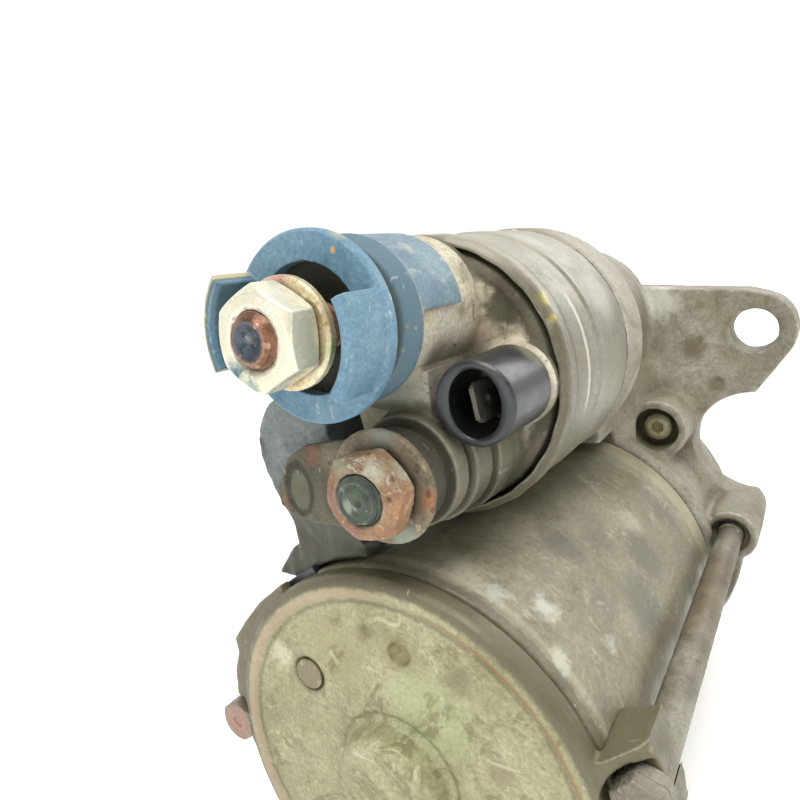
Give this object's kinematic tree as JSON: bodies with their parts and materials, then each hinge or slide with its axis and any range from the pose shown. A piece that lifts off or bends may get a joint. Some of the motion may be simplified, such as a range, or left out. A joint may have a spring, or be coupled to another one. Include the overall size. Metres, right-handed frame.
{
  "type": "starter motor",
  "caption": "Gear-reduction starter motor with piggy-back solenoid, stud terminals, blue terminal guard, push-on blade and ear-mounted flange.",
  "frame": {"origin": "centre of the mounting pilot on the flange's front face, on the pinion axis", "axes": "+X along the output shaft towards the pinion nose, +Z from the motor axis towards the solenoid axis, +Y away from the open mounting ear"},
  "size_m": [0.2019, 0.1114, 0.1348],
  "materials": {
    "cast_aluminium": "matte, oxidised casting",
    "yoke_steel": "grimy olive-grey steel, scuffed",
    "case_steel": "satin plated steel, dulled",
    "zinc_plate": "yellow zinc, dulled",
    "cap_moulding": "dusty tan moulding",
    "guard_plastic": "light blue moulding, chalky",
    "black_plastic": "satin black",
    "terminal_zinc": "bright iridescent zinc",
    "copper": "bare copper",
    "corroded_steel": "rusted",
    "dull_tin": "green-grey corrosion",
    "boot_rubber": "satin grey rubber",
    "machined_steel": "machined, oiled",
    "spring_steel": "bright wire",
    "bronze": "sintered bronze",
    "dark_moulding": "moulded",
    "brush_board": "phenolic",
    "carbon": "carbon",
    "ferrite": "ferrite"
  },
  "bodies": {
    "frame_body": {"drive_housing": "cast_aluminium", "nose_bush": "bronze", "lever_pin": "machined_steel", "centre_plate": "machined_steel", "gear_shield": "machined_steel", "ring_gear": "dark_moulding", "yoke": "yoke_steel", "magnets": "ferrite", "rear_cover": "zinc_plate", "rear_bush": "bronze", "brush_plate": "brush_board", "cover_screws": "zinc_plate", "through_bolts": "corroded_steel", "housing_screw": "zinc_plate", "solenoid_case": "case_steel", "solenoid_cap": "cap_moulding", "solenoid_core": "machined_steel", "coil_bobbin": "black_plastic", "coil_winding": "copper", "solenoid_screws": "machined_steel", "battery_stud": "copper", "battery_washer": "terminal_zinc", "battery_nut": "terminal_zinc", "terminal_guard": "guard_plastic", "guard_sleeve": "guard_plastic", "motor_stud": "dull_tin", "motor_washer": "dull_tin", "motor_nut": "corroded_steel", "lead_lug": "dull_tin", "lead_boot": "boot_rubber", "lead_grommet": "black_plastic", "signal_shroud": "black_plastic", "signal_blade": "dull_tin", "return_spring": "spring_steel", "contact_spring": "spring_steel", "brush_springs": "spring_steel"},
    "armature": {"armature_shaft": "machined_steel", "armature_core": "machined_steel", "armature_winding": "copper", "commutator": "copper", "sun_gear": "machined_steel"},
    "output": {"output_shaft": "machined_steel", "planet_pins": "machined_steel", "stop_ring": "machined_steel"},
    "planet_a": {"planet_gear_1": "machined_steel"},
    "planet_b": {"planet_gear_2": "machined_steel"},
    "planet_c": {"planet_gear_3": "machined_steel"},
    "clutch": {"clutch_sleeve": "machined_steel", "clutch_shell": "machined_steel", "clutch_rollers": "machined_steel"},
    "pinion_body": {"pinion": "machined_steel"},
    "lever": {"shift_lever": "dark_moulding"},
    "plunger_body": {"plunger": "machined_steel", "plunger_rod": "machined_steel"},
    "contact": {"contact_disc": "copper"},
    "brush_a": {"brush_1": "carbon"},
    "brush_b": {"brush_2": "carbon"},
    "brush_c": {"brush_3": "carbon"},
    "brush_d": {"brush_4": "carbon"}
  },
  "joints": [
    {"name": "armature_spin", "type": "hinge", "parent": "frame_body", "child": "armature", "pos_m": [-0.07, 0, 0], "axis": [1, 0, 0], "continuous": true},
    {"name": "output_spin", "type": "hinge", "parent": "frame_body", "child": "output", "pos_m": [0, 0, 0], "axis": [1, 0, 0], "continuous": true},
    {"name": "planet_a_spin", "type": "hinge", "parent": "output", "child": "planet_a", "pos_m": [-0.0255, 0, 0.018], "axis": [1, 0, 0], "continuous": true},
    {"name": "planet_b_spin", "type": "hinge", "parent": "output", "child": "planet_b", "pos_m": [-0.0255, -0.01559, -0.009], "axis": [1, 0, 0], "continuous": true},
    {"name": "planet_c_spin", "type": "hinge", "parent": "output", "child": "planet_c", "pos_m": [-0.0255, 0.01559, -0.009], "axis": [1, 0, 0], "continuous": true},
    {"name": "plunger_slide", "type": "slide", "parent": "frame_body", "child": "plunger_body", "axis": [-1, 0, 0], "range_m": [0, 0.009], "stiffness_N_per_m": 600, "springref_m": -0.012, "deforming": ["return_spring"]},
    {"name": "lever_swing", "type": "hinge", "parent": "frame_body", "child": "lever", "pos_m": [-0.0065, 0, 0.0356], "axis": [0, -1, 0], "range_deg": [0, 18.3]},
    {"name": "clutch_slide", "type": "slide", "parent": "output", "child": "clutch", "axis": [1, 0, 0], "range_m": [0, 0.01105]},
    {"name": "pinion_overrun", "type": "hinge", "parent": "clutch", "child": "pinion_body", "pos_m": [0.02, 0, 0], "axis": [1, 0, 0], "continuous": true},
    {"name": "contact_slide", "type": "slide", "parent": "frame_body", "child": "contact", "axis": [-1, 0, 0], "range_m": [0, 0.00301], "deforming": ["contact_spring"]},
    {"name": "brush_a_lift", "type": "slide", "parent": "frame_body", "child": "brush_a", "axis": [0, 0, 1], "range_m": [0, 0.003], "stiffness_N_per_m": 500, "springref_m": -0.01, "deforming": ["brush_springs"]},
    {"name": "brush_b_lift", "type": "slide", "parent": "frame_body", "child": "brush_b", "axis": [0, -1, 0], "range_m": [0, 0.003], "stiffness_N_per_m": 500, "springref_m": -0.01},
    {"name": "brush_c_lift", "type": "slide", "parent": "frame_body", "child": "brush_c", "axis": [0, 0, -1], "range_m": [0, 0.003], "stiffness_N_per_m": 500, "springref_m": -0.01},
    {"name": "brush_d_lift", "type": "slide", "parent": "frame_body", "child": "brush_d", "axis": [0, 1, 0], "range_m": [0, 0.003], "stiffness_N_per_m": 500, "springref_m": -0.01}
  ],
  "couplings": [
    {"joint": "output_spin", "follows": "armature_spin", "ratio": 0.25},
    {"joint": "planet_a_spin", "follows": "armature_spin", "ratio": -0.75},
    {"joint": "planet_b_spin", "follows": "armature_spin", "ratio": -0.75},
    {"joint": "planet_c_spin", "follows": "armature_spin", "ratio": -0.75},
    {"joint": "lever_swing", "follows": "plunger_slide", "rad_per_m": 35.43},
    {"joint": "clutch_slide", "follows": "plunger_slide", "ratio": 1.226},
    {"joint": "contact_slide", "follows": "plunger_slide", "ratio": 0.3333}
  ]
}
